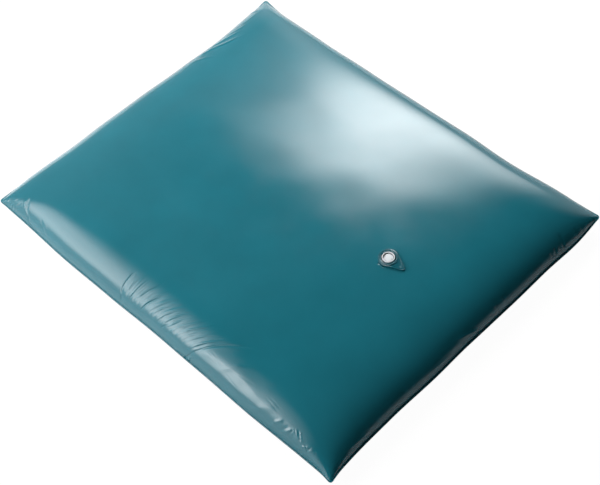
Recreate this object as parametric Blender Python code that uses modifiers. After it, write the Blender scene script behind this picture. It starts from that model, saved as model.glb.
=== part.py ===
"""Water-filled bladder of a waterbed, with its filling valve and its wave-damping fleece.

Two vinyl sheets are welded together round their edge and hold the water between them.
X runs along the long side, Y across, Z up, and the bladder stands on Z = 0.
The valve sits on the middle line near the foot end, at +X. Its neck pulls up out of a
moulded collar, its screw cap lifts and turns, and a plug closes the neck below the cap.
"""
import math

import bmesh
import bpy
import numpy as np
from mathutils import Matrix, Vector

# Overall size, over the corner tips and from the floor to the crown
length = 1.80
width = 1.51
height = 0.17

# Vinyl sheets and the weld round their edge
sheet_wall = 0.0006
weld_width = 0.006
seam_share = 0.35
touch_gap = 0.0003

# How far each side is drawn in from the line between its corner tips
corner_ear = 0.010
head_draw = 0.014
foot_draw = 0.002
left_draw = 0.011
right_draw = 0.0
ear_power = 8

# Lines of the sheet's grid, counted in from the seam, as shares of the height
shoulder_shares = (0.0, 0.015, 0.05, 0.12, 0.24, 0.42, 0.70, 1.15, 1.90)
middle_cells = 4
profile_steps = 400

# Filling valve: where it sits, and the screw cap
valve_x = 0.477
valve_y = 0.015
cap_outer = 0.0250
cap_wall = 0.0028
cap_rise = 0.0095
cap_plate = 0.0022
cap_rim = 0.0040
cap_fillet = 0.0008
recess_depth = 0.0075
thread_depth = 0.010
thread_count = 3
thread_height = 0.0007
running_gap = 0.0004
grip_count = 24
grip_radius = 0.0009

# Seal washer, plug and neck
washer_thickness = 0.0015
washer_width = 0.0030
plug_head = 0.0018
plug_length = 0.014
plug_wall = 0.0030
plug_pull_width = 0.0050
plug_pull_height = 0.0040
neck_wall = 0.0035
neck_travel = 0.025
neck_flange_width = 0.0050
neck_flange_thickness = 0.0025
chamfer = 0.0006

# Collar round the cap: a drop-shaped foot with a ridged mouth over a round well
collar_radius = 0.040
collar_tip_reach = 0.084
collar_tip_radius = 0.009
collar_edge = 0.0032
collar_edge_round = 0.0016
collar_rise = 0.0080
slope_foot_share = 0.45
slope_head_share = 0.80
ridge_height = 0.0014
well_gap = 0.0018
skirt_clearance = 0.0015
cup_wall = 0.0025
cup_floor = 0.0030
hole_gap = 0.0006
pocket_gap = 0.0015

# Wave-damping fleece: a bound stack that lies on the lower sheet, tied at its corners.
# Margins count in from the line between the bladder's corner tips
fleece_end_margin = 0.180
fleece_side_margin = 0.195
fleece_thickness = 0.018
fleece_count = 4
fleece_round = 0.006
band_width = 0.040
band_thickness = 0.0015
band_spread_share = 0.72
band_count = 3
anchor_end_margin = 0.095
anchor_side_margin = 0.110
tether_width = 0.025
tether_tuck = 0.030
tab_length = 0.060
tab_width = 0.070
tab_thickness = 0.0012

# Facets of round pieces, how far cutters run past what they cut, and the distance
# under which two points of a turned piece are one
round_steps = 40
tip_points = 7
side_points = 5
body_points = 25
grip_steps = 8
overrun = 0.005
merge_gap = 0.00001

# Heights of the valve's pieces, worked down from the cap's rim
cap_top = height + cap_rise
recess_floor = cap_top - recess_depth
plate_under = recess_floor - cap_plate
washer_top = plate_under - touch_gap
washer_under = washer_top - washer_thickness
plug_top = washer_under - touch_gap
plug_seat = plug_top - plug_head
neck_top = plug_seat - touch_gap
skirt_bottom = neck_top - thread_depth
well_floor = skirt_bottom - skirt_clearance
cup_bottom = well_floor - cup_floor
flange_top = cup_bottom - touch_gap - neck_travel
neck_bottom = flange_top - neck_flange_thickness

# Radii of the valve's pieces, worked in from the cap's outside
neck_outer = cap_outer - cap_wall - running_gap
neck_bore = neck_outer - neck_wall
plug_outer = neck_bore - running_gap
well_radius = cap_outer + well_gap
cup_outer = well_radius + cup_wall
hole_radius = cup_outer + hole_gap
pocket_radius = cup_outer + pocket_gap

# Size of the fleece stack, and the way from its corner to the end of a tether
fleece_length = length - 2 * fleece_end_margin
fleece_width = width - 2 * fleece_side_margin
tether_way = Vector((fleece_end_margin - anchor_end_margin, fleece_side_margin - anchor_side_margin))
tether_length = tether_way.length

# Heights of the fleece stack, worked up from the lower sheet
inner_floor = sheet_wall + touch_gap
fleece_floor = inner_floor + band_thickness + touch_gap
fleece_pitch = fleece_thickness + touch_gap
fleece_top = fleece_floor + fleece_count * fleece_pitch - touch_gap
band_top = fleece_top + touch_gap + band_thickness

valve_axis = Vector((valve_x, valve_y, 0.0))


def clear_scene():
    for item in list(bpy.data.objects):
        bpy.data.objects.remove(item, do_unlink=True)


def collection(name, shown):
    group = bpy.data.collections.new(name)
    bpy.context.scene.collection.children.link(group)
    group.hide_render = not shown
    return group


def material(name, color, roughness, metallic=0.0):
    made = bpy.data.materials.new(name)
    made.use_nodes = True
    shader = made.node_tree.nodes["Principled BSDF"]
    shader.inputs["Base Color"].default_value = (*color, 1.0)
    shader.inputs["Roughness"].default_value = roughness
    shader.inputs["Metallic"].default_value = metallic
    made.diffuse_color = (*color, 1.0)
    return made


clear_scene()
parts = collection("waterbed_bladder", True)
cutters = collection("cutters", False)
teal_vinyl = material("teal_vinyl", (0.014, 0.150, 0.190), 0.18)
collar_vinyl = material("collar_vinyl", (0.012, 0.130, 0.165), 0.22)
white_plastic = material("white_plastic", (0.72, 0.75, 0.78), 0.35)
seal_rubber = material("seal_rubber", (0.04, 0.04, 0.045), 0.6)
white_fleece = material("white_fleece", (0.78, 0.78, 0.75), 0.95)
white_webbing = material("white_webbing", (0.62, 0.63, 0.62), 0.8)
clear_water = material("clear_water", (0.55, 0.75, 0.80), 0.05)


def add_object(name, mesh, group, look=None, place=None):
    made = bpy.data.objects.new(name, mesh)
    group.objects.link(made)
    if look:
        mesh.materials.append(look)
    if place is not None:
        made.location = place
    if group is cutters:
        made.hide_render = True
        made.display_type = "WIRE"
    return made


def mesh_from(bm, name):
    mesh = bpy.data.meshes.new(name)
    bm.to_mesh(mesh)
    bm.free()
    return mesh


def box_mesh(name, low, high):
    """A box between two corners, made from a primitive cube."""
    bm = bmesh.new()
    bmesh.ops.create_cube(bm, size=1.0)
    size = Vector(high) - Vector(low)
    middle = (Vector(high) + Vector(low)) / 2
    bmesh.ops.scale(bm, vec=size, verts=bm.verts)
    bmesh.ops.translate(bm, vec=middle, verts=bm.verts)
    return mesh_from(bm, name)


def cylinder_mesh(name, radius, low, high, steps):
    bm = bmesh.new()
    bmesh.ops.create_cone(
        bm, cap_ends=True, segments=steps, radius1=radius, radius2=radius, depth=high - low
    )
    bmesh.ops.translate(bm, vec=(0.0, 0.0, (high + low) / 2), verts=bm.verts)
    return mesh_from(bm, name)


def cut(target, cutter):
    tool = target.modifiers.new("cut_" + cutter.name, "BOOLEAN")
    tool.operation = "DIFFERENCE"
    tool.object = cutter


def join(target, adder):
    tool = target.modifiers.new("join_" + adder.name, "BOOLEAN")
    tool.operation = "UNION"
    tool.object = adder


def turned(name, profile, look):
    """A round piece of the valve: an outline of (radius, height) pairs, turned about Z.

    The outline runs down the piece's outer side first, and its heights are world heights."""
    bm = bmesh.new()
    points = [bm.verts.new((radius, 0.0, rise)) for radius, rise in profile]
    for first, second in zip(points, points[1:] + points[:1]):
        if first.co.x or second.co.x:
            bm.edges.new((first, second))
    made = add_object(name, mesh_from(bm, name), parts, look, valve_axis)
    screw = made.modifiers.new("turn", "SCREW")
    screw.steps = round_steps
    screw.render_steps = round_steps
    screw.use_merge_vertices = True
    screw.merge_threshold = merge_gap
    screw.use_smooth_shade = False
    return made


# Upper and lower sheet, and the water between them
def turn_reach(turn):
    """How far a water-filled sheet reaches while it turns from level to this angle,
    in half heights: still water under a sheet of even tension, as in a wide flat drop."""
    return math.log(math.tan(turn / 4)) + 2 * math.cos(turn / 2)


def sheet_height(turn):
    """Height above the floor of a sheet that has turned this far from level."""
    return height * (1 - math.sin(turn / 2))


seam_turn = 2 * math.asin(1 - seam_share)
seam_height = seam_share * height


def side_profile(last_turn):
    """Distance in from the seam, and share of the way from the seam to the level part."""
    turns = np.linspace(seam_turn, last_turn, profile_steps)
    inward = [(turn_reach(seam_turn) - turn_reach(turn)) * height / 2 for turn in turns]
    rises = [abs(sheet_height(turn) - seam_height) for turn in turns]
    return np.array(inward), np.array(rises) / rises[-1]


level_turn = seam_turn / profile_steps
crown_profile = side_profile(level_turn)
floor_profile = side_profile(math.pi)


def crown_share(inward):
    """Rise of the upper sheet over the seam, from 0 at the seam to 1 on the crown."""
    level = np.interp(shoulder_shares[-1] * height, *crown_profile)
    return min(1.0, float(np.interp(inward, *crown_profile)) / level) if inward > 0 else 0.0


def floor_share(inward):
    """Drop of the lower sheet below the seam, from 0 at the seam to 1 on the floor."""
    distance, drop = floor_profile
    past_widest = distance.argmin()
    return float(np.interp(inward, distance[past_widest:], drop[past_widest:])) if inward > 0 else 0.0


def grid_lines(overall):
    """Places of the grid's lines across one direction, from weld edge to weld edge."""
    edge = overall / 2 - corner_ear
    seam = edge - weld_width
    near = [-edge] + [share * height - seam for share in shoulder_shares]
    run = -near[-1]
    middle = [run * (2 * step / middle_cells - 1) for step in range(1, middle_cells)]
    return near + middle + [-place for place in reversed(near)]


lines_x = grid_lines(length)
lines_y = grid_lines(width)
cells = len(lines_x) - 1


def grid_place(place, count):
    """Row and column of a vertex of a plain grid with this many cells each way."""
    return round((place.y + 1) * count / 2), round((place.x + 1) * count / 2)


def cell_grid(count):
    """A plain square grid and its vertices in rows. Each cell is split along the diagonal
    that runs round the nearest corner, so that all four corners fold alike."""
    bm = bmesh.new()
    bmesh.ops.create_grid(bm, x_segments=count, y_segments=count, size=1.0)
    rows = [[None] * (count + 1) for _ in range(count + 1)]
    for vert in bm.verts:
        row, column = grid_place(vert.co, count)
        rows[row][column] = vert
    for row in range(count):
        for column in range(count):
            if (row < count / 2) == (column < count / 2):
                pair = [rows[row][column + 1], rows[row + 1][column]]
            else:
                pair = [rows[row][column], rows[row + 1][column + 1]]
            bmesh.ops.connect_verts(bm, verts=pair)
    return bm, rows


def drawn_in(x, y):
    """Moves a point of the plain rectangle to the drawn-in outline with its corner ears."""
    across = x / lines_x[-1]
    along = y / lines_y[-1]
    draw_x = (foot_draw if x > 0 else -head_draw) * (1 - along**2) * across**2
    draw_y = (left_draw if y > 0 else -right_draw) * (1 - across**2) * along**2
    ear = corner_ear * abs(across * along) ** ear_power
    return (
        x - draw_x + math.copysign(ear, x),
        y - draw_y + math.copysign(ear, y),
    )


def sheet_point(column, row, upper):
    """Outer face of one sheet at a crossing of the grid's lines."""
    x = lines_x[column]
    y = lines_y[row]
    inward_x = lines_x[-2] - abs(x)
    inward_y = lines_y[-2] - abs(y)
    outward = sheet_wall + touch_gap / 2
    if upper:
        base = seam_height + outward
        rise = (height - base) * crown_share(inward_x) * crown_share(inward_y)
    else:
        base = seam_height - outward
        rise = -base * floor_share(inward_x) * floor_share(inward_y)
    return Vector((*drawn_in(x, y), base + rise))


def sheet_grid(upper):
    """Outer face of one sheet, as a grid whose faces point out, and its vertices in rows."""
    bm, rows = cell_grid(cells)
    for row, verts in enumerate(rows):
        for column, vert in enumerate(verts):
            vert.co = sheet_point(column, row, upper)
    if not upper:
        bmesh.ops.reverse_faces(bm, faces=bm.faces)
    bm.normal_update()
    return bm, rows


def sheet(name, upper):
    bm, _ = sheet_grid(upper)
    made = add_object(name, mesh_from(bm, name), parts, teal_vinyl)
    wall = made.modifiers.new("wall", "SOLIDIFY")
    wall.thickness = sheet_wall
    wall.offset = -1.0
    return made


def inner_points(upper):
    """Points just inside one sheet, without its weld and its seam line."""
    bm, rows = sheet_grid(upper)
    inset = sheet_wall + touch_gap
    kept = range(2, cells - 1)
    points = [[rows[row][column].co - rows[row][column].normal * inset for column in kept] for row in kept]
    bm.free()
    return points


def water():
    """The water: a closed slab between points just inside the two sheets."""
    upper = inner_points(True)
    lower = inner_points(False)
    inner_cells = len(upper) - 1
    bm, floor_rows = cell_grid(inner_cells)
    raised = bmesh.ops.extrude_face_region(bm, geom=list(bm.faces), use_keep_orig=True)
    crown_verts = [item for item in raised["geom"] if isinstance(item, bmesh.types.BMVert)]
    for vert in crown_verts:
        row, column = grid_place(vert.co, inner_cells)
        vert.co = upper[row][column]
    for row, verts in enumerate(floor_rows):
        for column, vert in enumerate(verts):
            vert.co = lower[row][column]
    bmesh.ops.recalc_face_normals(bm, faces=bm.faces)
    return add_object("water_fill", mesh_from(bm, "water_fill"), parts, clear_water)


top_sheet = sheet("top_sheet", True)
bottom_sheet = sheet("bottom_sheet", False)
water_fill = water()

valve_hole = add_object(
    "valve_hole",
    cylinder_mesh("valve_hole", hole_radius, height - overrun, height + overrun, round_steps),
    cutters,
    place=valve_axis,
)
cut(top_sheet, valve_hole)

valve_pocket = add_object(
    "valve_pocket",
    cylinder_mesh("valve_pocket", pocket_radius, neck_bottom - pocket_gap, height + overrun, round_steps),
    cutters,
    place=valve_axis,
)
cut(water_fill, valve_pocket)

fleece_pocket_x = fleece_length / 2 + touch_gap
fleece_pocket_y = fleece_width / 2 + 2 * touch_gap + band_thickness
fleece_pocket = add_object(
    "fleece_pocket",
    box_mesh(
        "fleece_pocket",
        (-fleece_pocket_x, -fleece_pocket_y, -overrun),
        (fleece_pocket_x, fleece_pocket_y, band_top + touch_gap),
    ),
    cutters,
)
cut(water_fill, fleece_pocket)


# Collar: a loft from the drop-shaped outline of its foot to the round well
def drop_outline():
    """Points round the foot: a large arc, a small arc at the tip, and the two straight
    lines that touch both. Counted round the valve's axis, from the tip."""
    spacing = collar_tip_reach - collar_tip_radius
    touch = math.acos((collar_radius - collar_tip_radius) / spacing)
    tip = [
        Vector((spacing, 0.0)) + collar_tip_radius * Vector((math.cos(turn), math.sin(turn)))
        for turn in np.linspace(-touch, touch, tip_points)
    ]
    body = [
        collar_radius * Vector((math.cos(turn), math.sin(turn)))
        for turn in np.linspace(touch, 2 * math.pi - touch, body_points)
    ]
    side_shares = np.linspace(0.0, 1.0, side_points + 2)[1:-1]
    there = [tip[-1].lerp(body[0], share) for share in side_shares]
    back = [body[-1].lerp(tip[0], share) for share in side_shares]
    return tip + there + body + back


def collar():
    crest = height + collar_rise
    foot = height + touch_gap
    edge_top = foot + collar_edge
    mouth = (cup_outer + collar_radius) / 2
    # Each ring: its share of the way in from the outline to a circle, the circle's radius,
    # how far it stands in from there, and its height
    rings = [
        (1.0, cup_outer, 0.0, foot),
        (0.0, 0.0, 0.0, foot),
        (0.0, 0.0, 0.0, edge_top - collar_edge_round),
        (0.0, 0.0, collar_edge_round, edge_top),
        (slope_foot_share, mouth, 0.0, edge_top + ridge_height),
        (slope_head_share, mouth, 0.0, crest - ridge_height),
        (1.0, mouth, 0.0, crest),
        (1.0, (mouth + cup_outer) / 2, 0.0, crest - ridge_height),
        (1.0, cup_outer, 0.0, crest - ridge_height),
        (1.0, well_radius, 0.0, crest),
        (1.0, well_radius, 0.0, well_floor),
        (1.0, neck_outer + running_gap, 0.0, well_floor),
        (1.0, neck_outer + running_gap, 0.0, cup_bottom),
        (1.0, cup_outer, 0.0, cup_bottom),
    ]
    bm = bmesh.new()
    loops = []
    for share, radius, inset, rise in rings:
        loop = []
        for point in drop_outline():
            reach = point.length + (radius - point.length) * share - inset
            loop.append(bm.verts.new((*(point.normalized() * reach), rise)))
        loops.append(loop)
    for near, far in zip(loops, loops[1:] + loops[:1]):
        for first, second, third, fourth in zip(near, near[1:] + near[:1], far[1:] + far[:1], far):
            bm.faces.new((first, second, third, fourth))
    bmesh.ops.recalc_face_normals(bm, faces=bm.faces)
    return add_object("valve_collar", mesh_from(bm, "valve_collar"), parts, collar_vinyl, valve_axis)


# Neck: a tube with a screw thread outside its mouth and a stop flange at its foot
def neck():
    root = neck_outer - thread_height
    pitch = thread_depth / (thread_count + 1)
    profile = [(root - chamfer, neck_top), (root, neck_top - chamfer)]
    for turn in range(1, thread_count + 1):
        crest = neck_top - turn * pitch
        profile.append((root, crest + 1.5 * thread_height))
        profile.append((neck_outer, crest + thread_height / 2))
        profile.append((neck_outer, crest - thread_height / 2))
        profile.append((root, crest - 1.5 * thread_height))
    stem = skirt_bottom - thread_height
    flange = neck_outer + neck_flange_width
    profile += [
        (root, stem + thread_height),
        (neck_outer, stem),
        (neck_outer, flange_top),
        (flange, flange_top),
        (flange, neck_bottom),
        (neck_bore, neck_bottom),
        (neck_bore, neck_top - chamfer),
        (neck_bore + chamfer, neck_top),
    ]
    return turned("valve_neck", profile, white_plastic)


# Plug: a cup with a flat head on the neck's mouth and a bar across it to pull it by
def plug():
    foot = neck_top - plug_length
    head = neck_outer - thread_height
    inside = plug_outer - plug_wall
    profile = [
        (head - chamfer, plug_top),
        (head, plug_top - chamfer),
        (head, plug_seat),
        (plug_outer, plug_seat),
        (plug_outer, foot + plug_wall),
        (plug_outer - plug_wall / 2, foot),
        (0.0, foot),
        (0.0, foot + plug_wall),
        (inside, foot + plug_wall),
        (inside, plug_top),
    ]
    made = turned("valve_plug", profile, white_plastic)
    half_bar = inside + plug_wall / 2
    bar = add_object(
        "plug_pull_bar",
        box_mesh(
            "plug_pull_bar",
            (-plug_pull_width / 2, -half_bar, plug_top - 2 * plug_pull_height),
            (plug_pull_width / 2, half_bar, plug_top - plug_pull_height),
        ),
        cutters,
        place=valve_axis,
    )
    join(made, bar)
    return made


# Washer: a flat seal ring between the plug's head and the cap
def washer():
    outer = neck_outer - thread_height
    inner = outer - washer_width
    profile = [(outer, washer_top), (outer, washer_under), (inner, washer_under), (inner, washer_top)]
    return turned("cap_washer", profile, seal_rubber)


# Cap: a round cup over the neck's mouth, sunk in the middle, with grip grooves round it
def cap():
    inside = cap_outer - cap_wall
    recess = cap_outer - cap_rim
    profile = [
        (recess + cap_fillet, cap_top),
        (cap_outer - cap_fillet, cap_top),
        (cap_outer, cap_top - cap_fillet),
        (cap_outer, skirt_bottom),
        (inside, skirt_bottom),
        (inside, plate_under),
        (0.0, plate_under),
        (0.0, recess_floor),
        (recess, recess_floor),
        (recess, cap_top - cap_fillet),
    ]
    made = turned("valve_cap", profile, white_plastic)
    bm = bmesh.new()
    low = skirt_bottom - overrun
    high = cap_top - 2 * cap_fillet
    for step in range(grip_count):
        angle = 2 * math.pi * (step + 0.5) / grip_count
        reach = cap_outer + grip_radius / 3
        place = Vector((reach * math.cos(angle), reach * math.sin(angle), (low + high) / 2))
        bmesh.ops.create_cone(
            bm,
            cap_ends=True,
            segments=grip_steps,
            radius1=grip_radius,
            radius2=grip_radius,
            depth=high - low,
            matrix=Matrix.Translation(place),
        )
    grooves = add_object("grip_grooves", mesh_from(bm, "grip_grooves"), cutters, place=valve_axis)
    cut(made, grooves)
    return made


collar()
neck()
plug()
washer()
cap()


# Fleece: a stack of thick layers, held together by flat bands round the short way
def fleece_layer(number):
    low = fleece_floor + number * fleece_pitch
    name = f"fleece_layer_{number + 1}"
    mesh = box_mesh(
        name,
        (-fleece_length / 2, -fleece_width / 2, low),
        (fleece_length / 2, fleece_width / 2, low + fleece_thickness),
    )
    made = add_object(name, mesh, parts, white_fleece)
    rounding = made.modifiers.new("soft_edges", "BEVEL")
    rounding.width = fleece_round
    rounding.segments = 2
    return made


def fleece_band(number):
    """One band: an open sleeve round the stack, thickened outwards."""
    place = fleece_length * band_spread_share * (number / (band_count - 1) - 0.5)
    low = (place - band_width / 2, -fleece_width / 2 - touch_gap, fleece_floor - touch_gap)
    high = (place + band_width / 2, fleece_width / 2 + touch_gap, fleece_top + touch_gap)
    name = f"fleece_band_{number + 1}"
    bm = bmesh.new()
    bm.from_mesh(box_mesh(name + "_sleeve", low, high))
    ends = [face for face in bm.faces if abs(face.normal.x) > 0.5]
    bmesh.ops.delete(bm, geom=ends, context="FACES_ONLY")
    made = add_object(name, mesh_from(bm, name), parts, white_webbing)
    wall = made.modifiers.new("webbing", "SOLIDIFY")
    wall.thickness = band_thickness
    wall.offset = 1.0
    wall.use_even_offset = True
    return made


# Tethers: flat webbing from under the stack's corners to tabs welded on the lower sheet
def tether(number):
    """One tether and its tab, both made along +X and then turned to their corner."""
    side_x = 1 if number in (1, 2) else -1
    side_y = 1 if number in (2, 3) else -1
    heading = math.atan2(side_y * tether_way.y, side_x * tether_way.x)
    corner = Vector((side_x * fleece_length / 2, side_y * fleece_width / 2, 0.0))
    strap_high = inner_floor + band_thickness
    strap_name = f"corner_tether_{number + 1}"
    strap = add_object(
        strap_name,
        box_mesh(
            strap_name,
            (-tether_tuck, -tether_width / 2, inner_floor),
            (tether_length, tether_width / 2, strap_high),
        ),
        parts,
        white_webbing,
        corner,
    )
    tab_name = f"anchor_tab_{number + 1}"
    tab = add_object(
        tab_name,
        box_mesh(
            tab_name,
            (tether_length - tab_length, -tab_width / 2, inner_floor),
            (tether_length, tab_width / 2, strap_high + touch_gap + tab_thickness),
        ),
        parts,
        teal_vinyl,
        corner,
    )
    slot = add_object(
        f"tether_slot_{number + 1}",
        box_mesh(
            f"tether_slot_{number + 1}",
            (0.0, -tether_width / 2 - touch_gap, inner_floor - overrun),
            (tether_length + overrun, tether_width / 2 + touch_gap, strap_high + touch_gap),
        ),
        cutters,
        place=corner,
    )
    room = add_object(
        f"tether_room_{number + 1}",
        box_mesh(
            f"tether_room_{number + 1}",
            (-tether_tuck, -tab_width / 2 - touch_gap, -overrun),
            (tether_length + touch_gap, tab_width / 2 + touch_gap, strap_high + 2 * touch_gap + tab_thickness),
        ),
        cutters,
        place=corner,
    )
    for made in (strap, tab, slot, room):
        made.rotation_euler.z = heading
    cut(tab, slot)
    cut(water_fill, room)


for layer in range(fleece_count):
    fleece_layer(layer)
for band in range(band_count):
    fleece_band(band)
for corner_number in range(4):
    tether(corner_number)
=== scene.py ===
"""Waterbed bladder: a filled vinyl envelope with a capped valve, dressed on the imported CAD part."""
import math

import bmesh
import bpy
import numpy as np
from mathutils import Matrix, Quaternion, Vector


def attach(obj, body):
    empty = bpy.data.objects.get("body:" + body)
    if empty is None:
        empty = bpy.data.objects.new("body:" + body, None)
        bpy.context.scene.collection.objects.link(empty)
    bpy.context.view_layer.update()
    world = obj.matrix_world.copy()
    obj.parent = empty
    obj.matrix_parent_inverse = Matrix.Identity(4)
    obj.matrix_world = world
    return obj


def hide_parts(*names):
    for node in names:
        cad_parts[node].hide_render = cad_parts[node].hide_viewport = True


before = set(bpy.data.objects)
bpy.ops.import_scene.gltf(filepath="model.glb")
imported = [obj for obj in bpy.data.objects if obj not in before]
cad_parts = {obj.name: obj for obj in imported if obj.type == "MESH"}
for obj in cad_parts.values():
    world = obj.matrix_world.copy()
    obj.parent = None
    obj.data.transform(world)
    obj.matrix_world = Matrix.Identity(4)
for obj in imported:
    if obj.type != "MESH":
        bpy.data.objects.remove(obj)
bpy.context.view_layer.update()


# Camera: a photographer's view down on the bladder from beyond its near corner, with a
# long lens and rolled a little off level. Its numbers were fitted to the outline.
image_width = 600
focal_pixels = 1379.8
view_azimuth = math.radians(47.79)
view_elevation = math.radians(53.98)
view_roll = math.radians(-4.59)
view_distance = 5.263
view_target = Vector((0.1361, -0.1079, 0.08))


def link(made):
    bpy.context.scene.collection.objects.link(made)
    return made


camera = link(bpy.data.objects.new("camera", bpy.data.cameras.new("camera")))
camera.data.sensor_width = 36.0
camera.data.lens = focal_pixels * camera.data.sensor_width / image_width
camera_back = Vector(
    (
        math.sin(view_azimuth) * math.cos(view_elevation),
        -math.cos(view_azimuth) * math.cos(view_elevation),
        math.sin(view_elevation),
    )
)
camera.location = view_target + camera_back * view_distance
camera.rotation_mode = "QUATERNION"
level_view = (-camera_back).to_track_quat("-Z", "Y")
camera.rotation_quaternion = level_view @ Quaternion((0.0, 0.0, 1.0), view_roll)
bpy.context.scene.camera = camera
bpy.context.scene.view_settings.view_transform = "Standard"


# Lower skin: the calendered vinyl sheet that lies on the floor and turns up at the sides
# to the weld. Still water under a sheet of even tension gives its rounded section.
height = 0.170
seam_share = 0.35
skin_wall = 0.0006
skin_gap = 0.0003
weld_width = 0.005
half_length = 0.894
half_width = 0.749
weld_corner = 0.014
seam_height = seam_share * height
seam_turn = 2 * math.asin(1 - seam_share)

# How far each side is drawn in at its middle, and how much further past it than before it:
# the head, the foot, the near and the far side
side_draw = (0.0181, 0.0012, -0.0073, 0.0266)
side_skew = (0.0089, -0.0103, 0.0009, -0.0035)
# Bulges out along the sides at seven even places, in mm, and the share of the half at which
# the outermost lie
side_bulges = (
    (1.3, -4.9, 1.8, 4.8, 0.6, -5.9, 0.9),
    (-1.2, 1.1, 5.1, -1.2, -2.4, -4.3, 6.0),
    (-0.2, 4.4, 0.8, -4.5, -2.7, 1.5, -1.1),
    (-12.9, -6.4, 1.1, 3.2, 2.5, -10.4, -0.2),
)
bulge_reach = 0.84
# Where the four corners stand off the plain rectangle, in mm
corner_shifts = ((-2.8, 2.4), (2.2, 5.0), (-6.5, 8.4), (-1.1, -3.4))
# How far the last few centimetres of each corner are drawn out to a tip, in mm, and the
# share of that along each side
corner_tips = (2.0, 10.0, 3.0, 2.0)
tip_spread = 0.030
tip_share = 0.7
corner_signs = ((-1, -1), (1, -1), (1, 1), (-1, 1))
# How far in from a side its bulges still show, as a share of the half
side_depth = 0.3
mm = 0.001
# Points closer together than this are one
one_point = 1e-6
# Edges that turn by more than this many degrees show as edges
crisp_angle = 40


def mesh_piece(name, points, faces, smooth_angle=None, closed=False):
    """A mesh object from points and faces, smooth but for edges sharper than the angle. In a
    closed one, points that coincide become one and the faces are turned outwards."""
    mesh = bpy.data.meshes.new(name)
    mesh.from_pydata([tuple(point) for point in points], [], faces)
    if closed:
        bm = bmesh.new()
        bm.from_mesh(mesh)
        bmesh.ops.remove_doubles(bm, verts=bm.verts, dist=one_point)
        bmesh.ops.delete(bm, geom=[edge for edge in bm.edges if not edge.link_faces], context="EDGES")
        bmesh.ops.recalc_face_normals(bm, faces=bm.faces)
        bm.to_mesh(mesh)
        bm.free()
    mesh.polygons.foreach_set("use_smooth", [True] * len(mesh.polygons))
    if smooth_angle:
        mesh.set_sharp_from_angle(angle=math.radians(smooth_angle))
    mesh.update()
    return link(bpy.data.objects.new(name, mesh))


def turn_reach(turn):
    """How far a water-filled sheet reaches while it turns from level to this angle."""
    return np.log(np.tan(turn / 4)) + 2 * np.cos(turn / 2)


def side_section(turns, level):
    """Distance along the sheet from the seam, distance in, and share of the way to level."""
    inward = (turn_reach(seam_turn) - turn_reach(turns)) * height / 2
    rise = height * (1 - np.sin(turns / 2))
    along = np.concatenate(([0.0], np.cumsum(np.hypot(np.diff(inward), np.diff(rise)))))
    return along, inward, (rise - rise[0]) / (level - rise[0])


section_steps = 4000
crown_turns = np.geomspace(seam_turn, 1e-6, section_steps)
crown_section = side_section(crown_turns, height)
floor_section = side_section(np.linspace(seam_turn, math.pi, section_steps), 0.0)


def skin_lines(half, section, step_places, steps):
    """Lines across one direction of a skin, from weld edge to weld edge: place in plan,
    share of the rise, and place on the sheet laid flat, both counted from the middle."""
    along, inward, share = section
    past = max(half - inward[-1], 0.0)
    along = np.append(along, along[-1] + past + mm)
    inward = np.append(inward, inward[-1] + past + mm)
    share = np.append(share, share[-1])
    widest = inward.argmin()
    middle = np.interp(half, inward[widest:], along[widest:])
    dense = np.linspace(0.0, middle, section_steps)
    side = np.array((half - np.interp(dense, along, inward), np.interp(dense, along, share), middle - dense))
    flip = np.array((-1.0, 1.0, -1.0))[:, None]
    table = np.concatenate((side * flip, side[:, -2::-1]), axis=1)
    spacing = np.interp(table[2], step_places, steps)
    count = np.concatenate(([0.0], np.cumsum(np.diff(table[2]) / spacing[1:])))
    wanted = np.linspace(0.0, count[-1], round(count[-1]) + 1)
    lines = np.array([np.interp(wanted, count, row) for row in table])
    out = np.array((1.0, 0.75, 0.5, 0.25)) * weld_width
    edge = np.array((half + out, out * 0.0, middle + out))
    return np.concatenate((edge * flip, lines, edge[:, ::-1]), axis=1)


def smooth(share):
    """A fade from 0 to 1 that is level at both ends."""
    share = np.clip(share, 0, 1)
    return share * share * (3 - 2 * share)


def bell(share):
    """A bulge that is 1 in the middle and nothing at both ends."""
    return 1 - share**2


def lean(share):
    """A wave through the middle and both ends, about 1 high past it and as deep before it."""
    return 2.6 * share * (1 - share**2)


def bulges(share, values):
    """Sum of smooth bumps at even places along a side."""
    places = np.linspace(-bulge_reach, bulge_reach, len(values))
    off = np.abs(share[..., None] - places) / (places[1] - places[0])
    return ((1 - smooth(off)) * np.array(values) * mm).sum(-1)


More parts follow.
